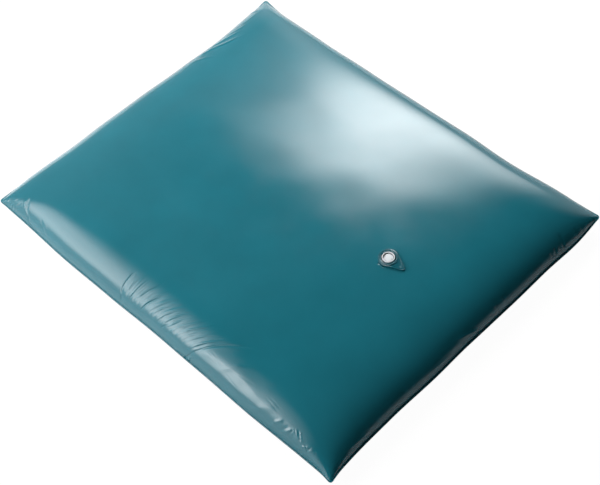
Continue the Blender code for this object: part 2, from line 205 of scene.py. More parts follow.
def outline(x, y, tips=1.0):
    """Moves points of the plain rectangle to the bladder's own outline, with or without tips."""
    core_x = half_length + weld_width - weld_corner
    core_y = half_width + weld_width - weld_corner
    past_x = np.clip((np.abs(x) - core_x) / weld_corner, 0, 1)
    past_y = np.clip((np.abs(y) - core_y) / weld_corner, 0, 1)
    x = np.sign(x) * (np.minimum(np.abs(x), core_x) + weld_corner * past_x * np.sqrt(1 - past_y**2 / 2))
    y = np.sign(y) * (np.minimum(np.abs(y), core_y) + weld_corner * past_y * np.sqrt(1 - past_x**2 / 2))
    across = np.clip(x / half_length, -1, 1)
    along = np.clip(y / half_width, -1, 1)
    near_x = np.clip(1 - (1 - np.abs(across)) / side_depth, 0, 1) ** 2
    near_y = np.clip(1 - (1 - np.abs(along)) / side_depth, 0, 1) ** 2
    pulls = []
    four_sides = 2 * [(along, near_x, across)] + 2 * [(across, near_y, along)]
    for side, (share, near, fall) in enumerate(four_sides):
        drawn = (side_draw[side] * bell(share) + side_skew[side] * lean(share)) * fall**2
        pulls.append(drawn - bulges(share, side_bulges[side]) * near)
    moved_x = x + np.where(across < 0, pulls[0], -pulls[1])
    moved_y = y + np.where(along < 0, pulls[2], -pulls[3])
    for (sign_x, sign_y), (shift_x, shift_y), tip in zip(corner_signs, corner_shifts, corner_tips):
        weight = (1 + sign_x * across) * (1 + sign_y * along) / 4
        from_tip = np.hypot(x - sign_x * half_length, y - sign_y * half_width) / tip_spread
        drawn = tips * tip * tip_share * np.exp(-(from_tip**2))
        moved_x = moved_x + (weight * shift_x + drawn * sign_x) * mm
        moved_y = moved_y + (weight * shift_y + drawn * sign_y) * mm
    return moved_x, moved_y


def skin_points(lines_x, lines_y, upper, tips=1.0):
    """Outer face of a skin as a grid of points, and its normals. The upper one reaches the
    full height at the valve."""
    x, y = np.meshgrid(lines_x[0], lines_y[0], indexing="ij")
    share = lines_x[1][:, None] * lines_y[1][None, :]
    out = skin_wall + skin_gap / 2
    base = seam_height + (out if upper else -out)
    rise = (height - base) / crown_at_valve if upper else -base
    moved_x, moved_y = outline(x, y, tips)
    points = np.stack((moved_x, moved_y, base + rise * share), axis=-1)
    return points, grid_normals(points, upper)


def grid_normals(points, upper):
    """Outward normals at the points of a skin's grid."""
    normals = np.cross(np.gradient(points, axis=0), np.gradient(points, axis=1))
    normals /= np.linalg.norm(normals, axis=-1, keepdims=True)
    return normals if upper else -normals


def grid_faces(rows, columns, upper):
    """The faces of a grid of points, turned up or down."""
    index = np.arange(rows * columns).reshape(rows, columns)
    quads = np.stack((index[:-1, :-1], index[1:, :-1], index[1:, 1:], index[:-1, 1:]), axis=-1)
    quads = quads.reshape(-1, 4)
    return quads if upper else quads[:, ::-1]


# How many flanks away a crease has died out
crease_margin = 3.2


def crease(field, lines_x, lines_y, track, rise, width, back, fade=(0.35, 0.35)):
    """Adds one crease to a field of heights over a skin. Its track is in mm on the sheet laid
    flat; width is the flank's on its right, and back the flank's on its left. Fade is the
    share of the track over which it comes up, and over which it dies away."""
    track = np.array(track, float) * mm
    width = width * mm
    back = back * mm
    margin = crease_margin * max(width, back)
    low = track.min(0) - margin
    high = track.max(0) + margin
    first_x, last_x = np.searchsorted(lines_x[2], (low[0], high[0]))
    first_y, last_y = np.searchsorted(lines_y[2], (low[1], high[1]))
    if last_x <= first_x or last_y <= first_y:
        return
    near_x = lines_x[2][first_x:last_x]
    near_y = lines_y[2][first_y:last_y]
    places = np.stack(np.meshgrid(near_x, near_y, indexing="ij"), axis=-1)
    steps = np.diff(track, axis=0)
    lengths = np.hypot(*steps.T)
    walked = np.concatenate(([0.0], np.cumsum(lengths)))
    best = np.full(places.shape[:2], np.inf)
    signed = np.zeros_like(best)
    way = np.zeros_like(best)
    for start, step, length, before in zip(track, steps, lengths, walked):
        off = places - start
        share = np.clip((off @ step) / length**2, 0, 1)
        away = off - share[..., None] * step
        gap = np.hypot(away[..., 0], away[..., 1])
        side = np.sign(off[..., 0] * step[1] - off[..., 1] * step[0])
        closer = gap < best
        best = np.where(closer, gap, best)
        signed = np.where(closer, side, signed)
        way = np.where(closer, (before + share * length) / walked[-1], way)
    flank = best / np.where(signed >= 0, width, back)
    ends = smooth(np.minimum(way / fade[0], (1 - way) / fade[1]))
    field[first_x:last_x, first_y:last_y] += rise * mm * np.exp(-flank * flank) * ends


def add_node(tree, kind, sockets=None, **settings):
    """Adds a shader node, sets its properties, and sets or links its sockets. A node given
    for a socket stands for the first of its outputs that is in use."""
    made = tree.nodes.new("ShaderNode" + kind)
    for name, value in settings.items():
        setattr(made, name, value)
    for name, value in (sockets or {}).items():
        if isinstance(value, bpy.types.Node):
            value = next(output for output in value.outputs if output.enabled)
        if isinstance(value, bpy.types.NodeSocket):
            tree.links.new(value, made.inputs[name])
        else:
            made.inputs[name].default_value = value
    return made


def linear(hex_colour):
    """An sRGB hex colour as linear RGBA."""
    parts = [int(hex_colour[place : place + 2], 16) / 255 for place in (1, 3, 5)]
    return [part / 12.92 if part <= 0.04045 else ((part + 0.055) / 1.055) ** 2.4 for part in parts] + [1.0]


def new_material(name):
    """An empty material, its node tree, and its object coordinates."""
    made = bpy.data.materials.new(name)
    made.use_nodes = True
    made.node_tree.nodes.clear()
    return made, made.node_tree, add_node(made.node_tree, "TexCoord").outputs["Object"]


def dress(tree, pattern, deep, pale, grain, strength, distance, **sockets):
    """Ends a material: two tones mixed by a pattern, a bump from a grain, and the rest of the
    shader's sockets, with _ for a space in their names."""
    tone = add_node(tree, "Mix", {0: pattern, 6: linear(deep), 7: linear(pale)}, data_type="RGBA")
    bump = add_node(tree, "Bump", {"Strength": strength, "Distance": distance, "Height": grain})
    given = {name.replace("_", " "): value for name, value in sockets.items()}
    shader = add_node(tree, "BsdfPrincipled", {"Base Color": tone, "Normal": bump, **given})
    add_node(tree, "OutputMaterial", {"Surface": shader})


# Calendered vinyl: plasticised PVC rolled between polished rollers. It has a wet gloss with
# a soft edge, a faint orange-peel grain, a slightly uneven teal and a few rub marks. Here and
# below, a noise's scale is 1 over the size of its patches in metres: this cloud's are 200 mm.
def calendered_vinyl(name, deep, pale, roughness):
    made, tree, places = new_material(name)
    cloud = add_node(tree, "TexNoise", {"Vector": places, "Scale": 5.0, "Detail": 3.0})
    # Rub marks are thin streaks: noise drawn out 40 to 1 along one way
    drawn = {"Vector": places, "Rotation": (0.0, 0.0, 0.7), "Scale": (4.0, 160.0, 4.0)}
    drawn = add_node(tree, "Mapping", drawn)
    streaks = add_node(tree, "TexNoise", {"Vector": drawn, "Scale": 1.0, "Detail": 2.0})
    rubs = add_node(tree, "MapRange", {"Value": streaks, "From Min": 0.62, "From Max": 0.82, "To Max": 0.03})
    patches = add_node(tree, "TexNoise", {"Vector": places, "Scale": 14.0, "Detail": 4.0})
    levels = {"From Min": 0.3, "From Max": 0.7, "To Min": roughness - 0.02, "To Max": roughness + 0.02}
    gloss = add_node(tree, "MapRange", {"Value": patches, **levels})
    rough = add_node(tree, "Math", {0: gloss, 1: rubs}, operation="ADD")
    # The rollers' grain is about 1 mm; it is drawn at 4 mm so that it shows in the render
    grain = add_node(tree, "TexNoise", {"Vector": places, "Scale": 250.0, "Detail": 3.0, "Roughness": 0.6})
    dress(tree, cloud, deep, pale, grain, 0.5, 0.00012, Roughness=rough, IOR=1.53)
    return made


sheet_vinyl = calendered_vinyl("calendered_teal_vinyl", "#18626F", "#1E7180", 0.12)

floor_x = skin_lines(half_length, floor_section, (-0.6, 0.6), (0.005, 0.005))
floor_y = skin_lines(half_width, floor_section, (-0.6, -0.3, 0.3, 0.6), (0.004, 0.02, 0.02, 0.005))
points, normals = skin_points(floor_x, floor_y, False)
faces = grid_faces(*points.shape[:2], False)
lower_skin = mesh_piece("lower_skin", points.reshape(-1, 3), faces.tolist())


def fix(piece, body, slot, material, *nodes, fill=None):
    """Gives a piece its material and body, and hides the CAD nodes that it stands for. Its slot and its fill
    are not used.
    """
    piece.data.materials.append(material)
    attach(piece, body)
    if nodes:
        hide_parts(*nodes)


def fix_skin(skin, node):
    """Gives a skin its wall, inwards from its outer face, and fixes it in its CAD node's place."""
    wall = skin.modifiers.new("wall", "SOLIDIFY")
    wall.thickness = skin_wall
    wall.offset = -1.0
    fix(skin, "bladder", "teal_vinyl", sheet_vinyl, node, fill=1.0)


fix_skin(lower_skin, "bottom_sheet")


# Anchor tabs: four patches of the same vinyl, welded down on the lower skin near its
# corners. Each is raised over the end of a webbing tether and holds it.
inner_floor = skin_wall + skin_gap
strap_thickness = 0.0015
fleece_length = 1.440
fleece_width = 1.120
tether_way = Vector((0.085, 0.085))
tether_width = 0.025
tether_tuck = 0.030
tab_length = 0.060
tab_width = 0.070
tab_thickness = 0.0012
tab_corner = 0.012
tab_step = 0.002
# How the tab comes down beside the strap, and the bead pressed in along its welded sides
slope_inset = 0.006
slope_width = 0.012
bead_inset = 0.004
bead_half = 0.0015
bead_height = 0.0002


def closed_grid(name, upper, lower, smooth_angle=crisp_angle):
    """A closed piece between two grids of points that share no vertex, walled at the rim."""
    rows, columns = upper.shape[:2]
    count = rows * columns
    index = np.arange(count).reshape(rows, columns)
    round_rim = np.concatenate((index[:-1, 0], index[-1, :-1], index[:0:-1, -1], index[0, :0:-1]))
    beside = np.roll(round_rim, -1)
    walls = np.stack((round_rim, beside, beside + count, round_rim + count), axis=-1)
    under = grid_faces(rows, columns, False) + count
    faces = np.concatenate((grid_faces(rows, columns, True), under, walls[:, ::-1]))
    both = np.concatenate((upper.reshape(-1, 3), lower.reshape(-1, 3)))
    return mesh_piece(name, both, faces.tolist(), smooth_angle)


def patch_grid(long, wide, corner, step):
    """Plan places of a rectangle from (0, -wide / 2) to (long, wide / 2) with round corners."""
    across = np.linspace(-1, 1, round(long / step) | 1)
    along = np.linspace(-1, 1, round(wide / step) | 1)
    x, y = np.meshgrid(across * long / 2, along * wide / 2, indexing="ij")
    past_x = np.clip((np.abs(x) - long / 2 + corner) / corner, 0, 1)
    past_y = np.clip((np.abs(y) - wide / 2 + corner) / corner, 0, 1)
    x = x - np.sign(x) * corner * past_x * (1 - np.sqrt(1 - past_y**2 / 2))
    y = y - np.sign(y) * corner * past_y * (1 - np.sqrt(1 - past_x**2 / 2))
    return x + long / 2, y


def turn_and_place(points, heading, place):
    """Turns points in plan about the origin, and moves them to a place."""
    turned = points.copy()
    turned[..., 0] = points[..., 0] * math.cos(heading) - points[..., 1] * math.sin(heading) + place[0]
    turned[..., 1] = points[..., 0] * math.sin(heading) + points[..., 1] * math.cos(heading) + place[1]
    return turned


def corner_frame(number):
    """The heading of a corner's tether, and the corner of the fleece that it starts from."""
    sign_x, sign_y = corner_signs[number]
    place = (sign_x * fleece_length / 2, sign_y * fleece_width / 2)
    return math.atan2(sign_y * tether_way.y, sign_x * tether_way.x), place


for number in range(4):
    heading, place = corner_frame(number)
    x, y = patch_grid(tab_length, tab_width, tab_corner, tab_step)
    x = x + tether_way.length - tab_length
    # The strap lifts the middle of the patch, and the patch comes down beside it
    over_strap = smooth((tab_width / 2 - slope_inset - np.abs(y)) / slope_width)
    lift = over_strap * (strap_thickness + skin_gap)
    bead = bead_height * (np.abs(np.abs(y) - tab_width / 2 + bead_inset) < bead_half)
    both_faces = []
    for raised in (tab_thickness + bead, 0.0):
        face = np.stack((x, y, inner_floor + raised + lift), axis=-1)
        both_faces.append(turn_and_place(face, heading, place))
    tab = closed_grid(f"anchor_patch_{number + 1}", *both_faces)
    fix(tab, "bladder", "teal_vinyl", sheet_vinyl, f"anchor_tab_{number + 1}")


# Fleece layers: four thick pads of polyester fibre, stacked on the lower skin in the water
# to damp its waves. They are soft, soaked and a little uneven, with rounded edges.
band_thickness = 0.0015
fleece_thickness = 0.018
fleece_count = 4
fleece_floor = inner_floor + band_thickness + skin_gap
fleece_pitch = fleece_thickness + skin_gap
fleece_top = fleece_floor + fleece_count * fleece_pitch - skin_gap


# Polyester fleece: crimped fibres laid and needled into a thick mat. It has no gloss, a
# soft bloom at grazing angles, and a tangle of fibres over slow lumps of denser fibre.
def needled_fleece(name, deep, pale):
    made, tree, places = new_material(name)
    # Lumps of 45 mm
    lumps = add_node(tree, "TexNoise", {"Vector": places, "Scale": 22.0, "Detail": 2.0})
    # Fibres are 0.03 mm thick; they are drawn as tangled 2 mm streaks so that they show
    streaks = {"Vector": places, "Scale": 420.0, "Detail": 6.0, "Distortion": 2.5}
    tangle = add_node(tree, "TexNoise", streaks)
    both = add_node(tree, "Math", {0: lumps, 1: 3.0, 2: tangle}, operation="MULTIPLY_ADD")
    dress(tree, tangle, deep, pale, both, 0.7, 0.0008, Roughness=0.95, Sheen_Weight=0.4, Sheen_Roughness=0.6)
    return made


fleece = needled_fleece("needled_polyester_fleece", "#D2D2CC", "#ECECE6")
draws = np.random.default_rng(11)


def slow_waves(x, y, count, length, draws):
    """A sum of plane waves of about this length, with heights up to about 1."""
    total = 0.0
    for _ in range(count):
        heading = draws.uniform(0, 2 * math.pi)
        stretch = 2 * math.pi / (length * draws.uniform(0.7, 1.4))
        phase = draws.uniform(0, 2 * math.pi)
        total = total + np.sin((x * math.cos(heading) + y * math.sin(heading)) * stretch + phase)
    return total / math.sqrt(count)


# Lines of a pad's grid near its rounded edge, and their distance over its flat middle
edge = np.array((0.0, 0.0003, 0.0012, 0.0027, 0.0048, 0.0078, 0.012))
pad_step = 0.012
# How long and how thick the lumps are, how far the faces lie in for them, and half the gap
# between the faces at the sides
lump_length = 0.13
lump_height = 0.0005
lump_room = 0.0006
seam_half = 0.0001
# How far the middle of each side pulls in, as a share of the pad's half
pull_x = 0.003
pull_y = 0.004
for layer in range(fleece_count):
    lines = []
    for half in (fleece_length / 2, fleece_width / 2):
        middle = np.linspace(-half + edge[-1], half - edge[-1], round(2 * half / pad_step))
        lines.append(np.concatenate((-half + edge[:-1], middle, half - edge[-2::-1])))
    x, y = np.meshgrid(*lines, indexing="ij")
    in_x = np.clip((fleece_length / 2 - np.abs(x)) / edge[-1], 0, 1)
    in_y = np.clip((fleece_width / 2 - np.abs(y)) / edge[-1], 0, 1)
    swell = np.sqrt(1 - (1 - in_x) ** 2) * np.sqrt(1 - (1 - in_y) ** 2)
    pulled_x = x * (1 - pull_x * bell(2 * y / fleece_width))
    pulled_y = y * (1 - pull_y * bell(2 * x / fleece_length))
    uneven = slow_waves(x, y, 6, lump_length, draws) * lump_height
    middle_height = fleece_floor + layer * fleece_pitch + fleece_thickness / 2
    both_faces = []
    for way, lumps in ((1, uneven), (-1, -np.roll(uneven, 9, axis=0))):
        rise = np.minimum(fleece_thickness / 2, fleece_thickness / 2 - lump_room + lumps) * swell
        z = middle_height + way * (seam_half + rise)
        both_faces.append(np.stack((pulled_x, pulled_y, z), axis=-1))
    pad = closed_grid(f"fleece_pad_{layer + 1}", *both_faces, 60)
    fix(pad, "bladder", "white_fleece", fleece, f"fleece_layer_{layer + 1}", fill=0.7)


# Fleece bands: three flat straps of woven webbing round the stack of fleece, each sewn into
# a loop, so that the layers keep together.
band_width = 0.040
band_count = 3
band_spread_share = 0.72


# Webbing: flat polypropylene yarn in a plain weave. It is matt with a dull shine along
# the yarns, and the weave stands up as rows of small pillows.
def woven_webbing(name, deep, pale):
    made, tree, places = new_material(name)
    weave = []
    # Yarns 1.6 mm apart both ways, raised at every second crossing
    for turn in (0.0, math.pi / 2):
        turned = add_node(tree, "Mapping", {"Vector": places, "Rotation": (0.0, 0.0, turn)})
        waves = {"Vector": turned, "Scale": 98.0, "Distortion": 0.3}
        weave.append(add_node(tree, "TexWave", waves, wave_profile="SIN").outputs["Fac"])
    yarns = add_node(tree, "Math", {0: weave[0], 1: weave[1]}, operation="MULTIPLY")
    rough = add_node(tree, "MapRange", {"Value": yarns, "To Min": 0.85, "To Max": 0.6})
    dress(tree, yarns, deep, pale, yarns, 0.8, 0.0003, Roughness=rough)
    return made


webbing = woven_webbing("woven_polypropylene_webbing", "#B4B6B4", "#DADBD8")


def ring_piece(name, rings, closed=True):
    """A piece from rings of points, each joined to the next. The last one is joined to the
    first, or else both ends are capped."""
    points = np.array(rings)
    count, around = points.shape[:2]
    index = np.arange(count * around).reshape(count, around)
    near = np.stack((index, np.roll(index, -1, axis=0)), axis=-1)
    beside = np.roll(near, -1, axis=1)
    faces = np.stack((near[..., 0], beside[..., 0], beside[..., 1], near[..., 1]), axis=-1)
    if closed:
        faces = faces.reshape(-1, 4).tolist()
    else:
        faces = faces[:-1].reshape(-1, 4).tolist() + [index[0, ::-1].tolist(), index[-1].tolist()]
    return mesh_piece(name, points.reshape(-1, 3), faces, crisp_angle, closed=True)


def strap(name, path, side, width, thickness, closed=False):
    """A flat strap along a path of points, with its width along side and its thickness to the
    right of the path. Its two long edges are a little thinner."""
    path = np.array(path, float)
    side = np.array(side, float)
    ahead = np.roll(path, -1, axis=0) - np.roll(path, 1, axis=0)
    if not closed:
        ahead[0] = path[1] - path[0]
        ahead[-1] = path[-1] - path[-2]
    ahead /= np.linalg.norm(ahead, axis=1, keepdims=True)
    out = np.cross(ahead, side)
    places = np.array((-0.5, -0.47, -0.44, -0.2, 0.0, 0.2, 0.44, 0.47, 0.5)) * width
    thick = np.array((0.55, 0.85, 1.0, 1.0, 1.0, 1.0, 1.0, 0.85, 0.55)) * thickness
    under = path[:, None] + side * places[None, :, None]
    over = under[:, ::-1] + out[:, None] * thick[None, ::-1, None]
    ring = np.concatenate((under, over), axis=1)
    return ring_piece(name, ring, closed=closed)


def round_loop(half_wide, low, high, radius, steps):
    """A rounded rectangle in (y, z), counted against the clock."""
    loop = []
    for centre_y, centre_z, start in (
        (half_wide - radius, high - radius, 0.0),
        (-half_wide + radius, high - radius, 0.5),
        (-half_wide + radius, low + radius, 1.0),
        (half_wide - radius, low + radius, 1.5),
    ):
        for turn in np.linspace(start, start + 0.5, steps) * math.pi:
            loop.append((centre_y + radius * math.cos(turn), centre_z + radius * math.sin(turn)))
    return loop


band_bend = 0.007
half_wide = fleece_width / 2 + skin_gap
# One loop in section, rounded over the stack's edges by the bend
loop = round_loop(half_wide, fleece_floor - skin_gap, fleece_top + skin_gap, band_bend, 8)
for band in range(band_count):
    place = fleece_length * band_spread_share * (band / (band_count - 1) - 0.5)
    path = [(place, y, z) for y, z in loop]
    name = f"stack_band_{band + 1}"
    sleeve = strap(name, path, (1.0, 0.0, 0.0), band_width, band_thickness, closed=True)
    fix(sleeve, "bladder", "white_webbing", webbing, f"fleece_band_{band + 1}")


# Corner tethers: four straps of the same webbing, sewn under the stack's corners and held
# by the anchor tabs, so that the fleece can't wander in the water.
# How far each ends inside its tab's outer edge
tether_inset = 0.002
for number in range(4):
    heading, place = corner_frame(number)
    way = np.linspace(-tether_tuck, tether_way.length - tether_inset, 24)
    path = np.stack((way, way * 0.0, np.full(len(way), inner_floor)), axis=-1)
    side = (-math.sin(heading), math.cos(heading), 0.0)
    path = turn_and_place(path, heading, place)
    tether = strap(f"tether_strap_{number + 1}", path, side, tether_width, strap_thickness)
    fix(tether, "bladder", "white_webbing", webbing, f"corner_tether_{number + 1}")


# Upper skin: the matching sheet over the water, taut and level on the crown, with creases
# where it is gathered over the shoulders. It is welded to the lower skin round its edge.
valve_axis = Vector((0.477, 0.015, 0.0))
hole_radius = 0.0299
hole_centre = np.array(valve_axis[:2])
rim_margin = 0.008
# How far apart the grid's lines are, from head to foot and from the near to the far side:
# closest where most of the creases are, and widest over the smooth crown
steps_x = ((-0.30, -0.25, 0.25, 0.30), (0.0032, 0.0024, 0.0024, 0.0032))
steps_y = ((-0.62, -0.5, 0.08, 0.14), (0.0026, 0.009, 0.009, 0.0042))
crown_x = skin_lines(half_length, crown_section, *steps_x)
crown_y = skin_lines(half_width, crown_section, *steps_y)
crown_at_valve = np.interp(valve_axis.x, *crown_x[:2]) * np.interp(valve_axis.y, *crown_y[:2])
points, normals = skin_points(crown_x, crown_y, True)
field = np.zeros(points.shape[:2])
draws = np.random.default_rng(5)
# The crown is level but for waves a quarter of a millimetre high
field += slow_waves(crown_x[2][:, None], crown_y[2][None, :], 7, 0.30, draws) * 0.25 * mm
# Each crease: its track in mm from the weld up, its rise, the widths of its right and its
# left flank, and at both ends the share of the track over which it fades, if not 0.35
creases = [
    # The near side's left end: curved folds and a faint pair further along
    (
        ((-776, -682), (-762, -710), (-751, -732), (-731, -752), (-717, -776), (-701, -787), (-682, -805)),
        -1.7, 6.0, 2.8, (0.2, 0.2),
    ),
    (((-790, -700), (-778, -722), (-768, -738)), 1.2, 4.0, 4.0),
    (((-675, -715), (-661, -728), (-637, -750), (-612, -771), (-590, -790)), -0.9, 8.0, 3.4),
    (((-645, -725), (-622, -745), (-600, -765)), 0.5, 6.0, 5.0),
    (((-783, -748), (-771, -736), (-756, -703)), 0.8, 4.0, 3.0),
    (((-852, -751), (-836, -730), (-823, -708)), 0.8, 4.0, 3.0),
    (((-812, -758), (-802, -738), (-794, -720)), -0.7, 4.0, 3.0),
    (((-790, -766), (-770, -762), (-748, -768)), 0.6, 3.0, 3.0),
    (((-334, -732), (-331, -745), (-322, -767), (-317, -786)), -0.9, 4.5, 2.4),
    (((-318, -728), (-316, -739), (-312, -755), (-295, -770)), -0.8, 4.5, 2.4),
    # Its middle: one long curved crease, short ones, and the two that catch the light
    (
        ((-172, -785), (-182, -749), (-191, -728), (-194, -699), (-192, -664), (-184, -640)),
        -1.1, 7.0, 2.0, (0.2, 0.25),
    ),
    (((-180, -770), (-193, -740), (-203, -700)), 0.3, 4.0, 3.0),
    (((-146, -760), (-142, -740), (-136, -705)), -0.8, 5.0, 2.4),
    (((-122, -756), (-118, -736), (-108, -705)), -0.7, 4.0, 2.4),
    (
        ((-82, -762), (-77, -748), (-66, -714), (-47, -682), (-27, -652), (-5, -625)),
        -1.1, 4.5, 2.4, (0.2, 0.4),
    ),
    (((-17, -754), (20, -691), (49, -651), (82, -614)), 0.5, 5.0, 2.4),
    (((30, -762), (35, -750), (52, -724), (72, -694), (98, -658), (122, -631)), -1.6, 5.0, 2.6, (0.15, 0.5)),
    (((38, -770), (43, -757), (69, -717), (92, -681), (118, -645)), -0.8, 4.0, 2.2),
    (((95, -735), (102, -716), (123, -678), (147, -646), (168, -614)), 0.6, 5.0, 2.4),
    (((170, -745), (184, -726), (206, -698), (236, -672), (270, -650)), 1.0, 9.0, 5.0),
    # The deep fold that runs up on to the crown, with a pucker at its foot
    (
        (
            (166, -805), (177, -784), (203, -739), (232, -703), (258, -674),
            (297, -642), (338, -614), (383, -586), (450, -555),
        ),
        -1.9, 5.5, 2.3, (0.05, 0.6),
    ),
    (((186, -806), (193, -788), (201, -768)), 3.2, 2.2, 5.0),
    (((214, -800), (226, -786), (244, -778)), 1.4, 2.6, 4.0),
    # Beyond it, soft folds that run on over the crown, and thin marks along the side
    (((230, -760), (262, -700), (330, -645), (440, -590), (560, -545)), -0.8, 18.0, 14.0),
    (((212, -716), (290, -702), (380, -694), (470, -700), (540, -716)), 2.3, 15.0, 26.0, (0.15, 0.4)),
    (((300, -770), (340, -712), (400, -665), (500, -620), (600, -590)), 0.6, 22.0, 18.0),
    (((400, -770), (440, -715), (520, -660), (620, -625)), -0.7, 22.0, 18.0),
    (((321, -744), (357, -701), (382, -677), (430, -648)), 0.7, 10.0, 7.0),
    (((520, -775), (545, -735), (600, -690)), 0.7, 18.0, 12.0),
    (((232, -697), (252, -703), (290, -711), (334, -716)), -0.35, 2.4, 2.2),
    (((240, -690), (262, -695), (300, -703), (330, -706)), -0.25, 2.4, 2.2),
    (((352, -712), (400, -700), (450, -692), (500, -688)), -0.35, 2.4, 2.2),
    (((345, -722), (380, -730), (430, -742)), -0.3, 2.2, 2.2),
    (((530, -696), (565, -702), (620, -712)), -0.45, 2.6, 2.2),
    (((538, -688), (580, -692), (625, -700)), -0.3, 2.4, 2.2),
    (((605, -765), (620, -742), (644, -716)), 1.2, 6.0, 5.0),
    (((640, -770), (655, -750), (672, -722)), -1.0, 5.0, 5.0),
    (((660, -762), (676, -738), (690, -722)), 1.0, 5.0, 4.0),
    (((684, -718), (694, -727), (706, -738)), 0.7, 2.6, 2.4),
    (((694, -712), (708, -726), (722, -740)), 0.8, 2.6, 2.4),
    (((705, -710), (719, -724), (734, -740)), -0.6, 2.6, 2.4),
    (((714, -712), (728, -727), (742, -742)), 0.6, 2.6, 2.4),
    (((742, -760), (758, -748), (776, -742)), 1.4, 5.0, 4.0),
    (((752, -738), (768, -748), (780, -762)), -0.9, 3.0, 4.0),
    # The head side near the far corner: long slanting folds
    (((-875, 262), (-856, 291), (-837, 337), (-800, 404), (-778, 464), (-770, 500)), 3.6, 6.0, 9.0),
    (((-872, 330), (-850, 380), (-837, 422), (-823, 462), (-800, 515)), 2.2, 5.0, 7.0),
    (((-855, 440), (-836, 490), (-815, 560)), 1.2, 5.0, 6.0),
    (((-850, 225), (-834, 247), (-797, 289), (-765, 315)), 1.6, 6.0, 9.0),
    (((-905, 615), (-884, 640), (-852, 670)), 1.8, 5.0, 6.0),
    # The foot side: short gathers above the weld
    (((931, 539), (903, 538), (872, 543), (846, 551)), -2.6, 4.5, 9.0),
    (((930, 520), (905, 516), (885, 522)), -1.4, 5.0, 7.0),
    (((922, 491), (905, 492), (880, 499)), -2.0, 4.0, 7.0),
    (((920, 473), (905, 471), (885, 468)), -1.8, 4.0, 6.0),
    (((925, 649), (901, 651), (884, 656)), -1.2, 3.5, 6.0),
    (((915, 619), (889, 615), (872, 620)), -1.0, 3.5, 6.0),
    (((925, 202), (894, 194), (872, 192)), -1.8, 4.0, 6.0),
    (((928, 152), (905, 151), (885, 146)), -1.4, 4.0, 6.0),
    (((878, -75), (885, -57), (905, 1), (924, 47), (935, 80)), 2.2, 5.0, 7.0),
    (((895, -50), (912, -17), (934, 43)), 1.4, 4.0, 6.0),
    (((900, -240), (906, -227), (911, -140), (921, -43)), 0.8, 4.0, 4.0),
    (((890, -670), (896, -655), (907, -580), (912, -513)), 0.8, 4.0, 4.0),
]
# Fine pleats side by side up the near shoulder, in mm: how far one leans over by a height up
# the sheet, and how much more they lean the nearer they are to the deep fold
pleat_rows = np.array((-770, -750, -715, -685, -652, -615))
pleat_lean = np.array((-6, 0, 14, 34, 58, 95))
for start in np.arange(-165, 190, 6.3):
    start += draws.uniform(-2.0, 2.0)
    more = np.interp(start, (-182, -140, -80, 40, 130, 196), (-0.25, 0.25, 0.85, 1.1, 1.2, 1.5))
    rows = np.linspace(draws.uniform(-778, -742), draws.uniform(-675, -590), 5)
    track = [(start + more * np.interp(row, pleat_rows, pleat_lean), row) for row in rows]
    rise = draws.uniform(0.4, 1.0) * draws.choice((1.0, -1.0, -1.0))
    creases.append((track, rise, draws.uniform(2.8, 4.0), draws.uniform(2.2, 3.0), (0.4, 0.4)))
for start in np.arange(-470, -205, 8.0):
    low = draws.uniform(-752, -722)
    track = ((start, low), (start + draws.uniform(4, 12), low + draws.uniform(25, 45)))
    creases.append((track, draws.uniform(0.05, 0.16), 3.2, 2.2))
# Small pleats at both ends of the near side, across its weld
end_pleats = ((-893, -810, 14, -800, -735, 0.9), (640, 800, 12, -775, -725, 0.5))
for first, last, count, low, high, most in end_pleats:
    for start in np.linspace(first, last, count):
        start += draws.uniform(-4, 4)
        foot = low + draws.uniform(0, 30)
        top = high + draws.uniform(-15, 10)
        halfway = (start + draws.uniform(-2, 8), (foot + top) / 2)
        track = ((start, foot), halfway, (start + draws.uniform(0, 18), top))
        rise = draws.uniform(0.25, most) * draws.choice((1.0, -1.0))
        creases.append((track, rise, draws.uniform(2.6, 4.0), draws.uniform(2.2, 3.0)))
# Wrinkles that run inwards from the four corners
for sign_x, sign_y in corner_signs:
    for heading in np.radians(np.linspace(12, 78, 7) + draws.uniform(-5, 5, 7)):
        along = -np.array((math.cos(heading) * sign_x, math.sin(heading) * sign_y))
        corner = np.array((crown_x[2][-1] * sign_x, crown_y[2][-1] * sign_y)) / mm
        begin = draws.uniform(14, 30)
        track = [corner + along * (begin + share * draws.uniform(35, 80)) for share in (0.0, 0.5, 1.0)]
        creases.append((track, draws.uniform(0.2, 0.7), draws.uniform(3.0, 5.0), draws.uniform(2.5, 3.5)))
for one_crease in creases:
    crease(field, crown_x, crown_y, *one_crease)
points = points + normals * field[..., None]
faces = grid_faces(*points.shape[:2], True)
flat_points = points.reshape(-1, 3)
# The valve's hole: faces inside its circle go, and the open edge is moved onto the circle
from_valve = flat_points[:, :2] - hole_centre
valve_distance = np.hypot(*from_valve.T)
inside = valve_distance[faces] < hole_radius
faces = faces[~inside.any(axis=1)]
rim = np.unique(faces)
rim = rim[(valve_distance[rim] < hole_radius + rim_margin)]
edge_count = np.bincount(faces.ravel(), minlength=len(flat_points))
rim = rim[edge_count[rim] < 4]
flat_points[rim, :2] = hole_centre + from_valve[rim] * (hole_radius / valve_distance[rim])[:, None]
used = np.unique(faces)
renumber = np.full(len(flat_points), -1)
renumber[used] = np.arange(len(used))
upper_skin = mesh_piece("upper_skin", flat_points[used], renumber[faces].tolist())
fix_skin(upper_skin, "top_sheet")


